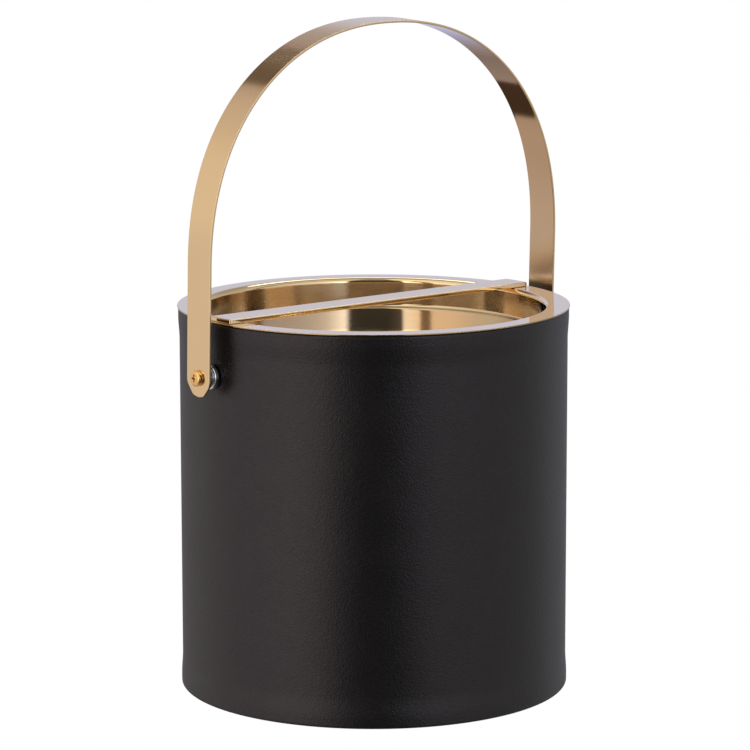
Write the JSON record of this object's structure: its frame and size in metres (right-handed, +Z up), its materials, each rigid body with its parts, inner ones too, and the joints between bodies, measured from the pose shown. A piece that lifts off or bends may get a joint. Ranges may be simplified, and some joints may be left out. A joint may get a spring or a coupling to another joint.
{
  "type": "ice bucket",
  "caption": "Round insulated ice bucket with a leatherette wall, metal liner, lift-off pan lid with a flat bar grip, and a swinging strip handle.",
  "frame": {"origin": "centre of the underside of the felt pad", "axes": "+Z up along the bucket's axis, X parallel to the line through the two handle pivots, -Y the side the upright handle leans to"},
  "size_m": [0.2096, 0.19, 0.3253],
  "materials": {
    "leatherette": "black satin leatherette, fine grain",
    "fibreboard": "raw pressed fibreboard",
    "felt": "black felt",
    "foam": "closed-cell foam",
    "collar_plastic": "moulded black",
    "liner_steel": "circumferentially brushed",
    "polished_gold": "mirror-polished pale gold plate",
    "satin_gold": "fine lengthwise satin, pale gold plate",
    "screw_brass": "bright yellow brass plate",
    "bright_chrome": "bright",
    "zinc_steel": "zinc plated"
  },
  "bodies": {
    "bucket": {"outer_wrap": "leatherette", "wall_core": "fibreboard", "base_board": "fibreboard", "base_pad": "felt", "insulation_sleeve": "foam", "insulation_disc": "foam", "top_collar": "collar_plastic", "inner_liner": "liner_steel", "pivot_screw_left": "screw_brass", "pivot_screw_right": "screw_brass", "pivot_washer_left": "bright_chrome", "pivot_washer_right": "bright_chrome", "pivot_spacer_left": "bright_chrome", "pivot_spacer_right": "bright_chrome", "backing_plate_left": "zinc_steel", "backing_plate_right": "zinc_steel", "lock_nut_left": "zinc_steel", "lock_nut_right": "zinc_steel"},
    "handle": {"bale_handle": "satin_gold"},
    "lid": {"lid_pan": "polished_gold", "lid_bar": "polished_gold"}
  },
  "joints": [
    {"name": "handle_swing", "type": "hinge", "parent": "bucket", "child": "handle", "pos_m": [0, -0.0013, 0.1614], "axis": [1, 0, 0], "range_deg": [-139, 136]},
    {"name": "lid_lift", "type": "slide", "parent": "bucket", "child": "lid", "axis": [0, 0, 1], "range_m": [0, 0.05]}
  ]
}
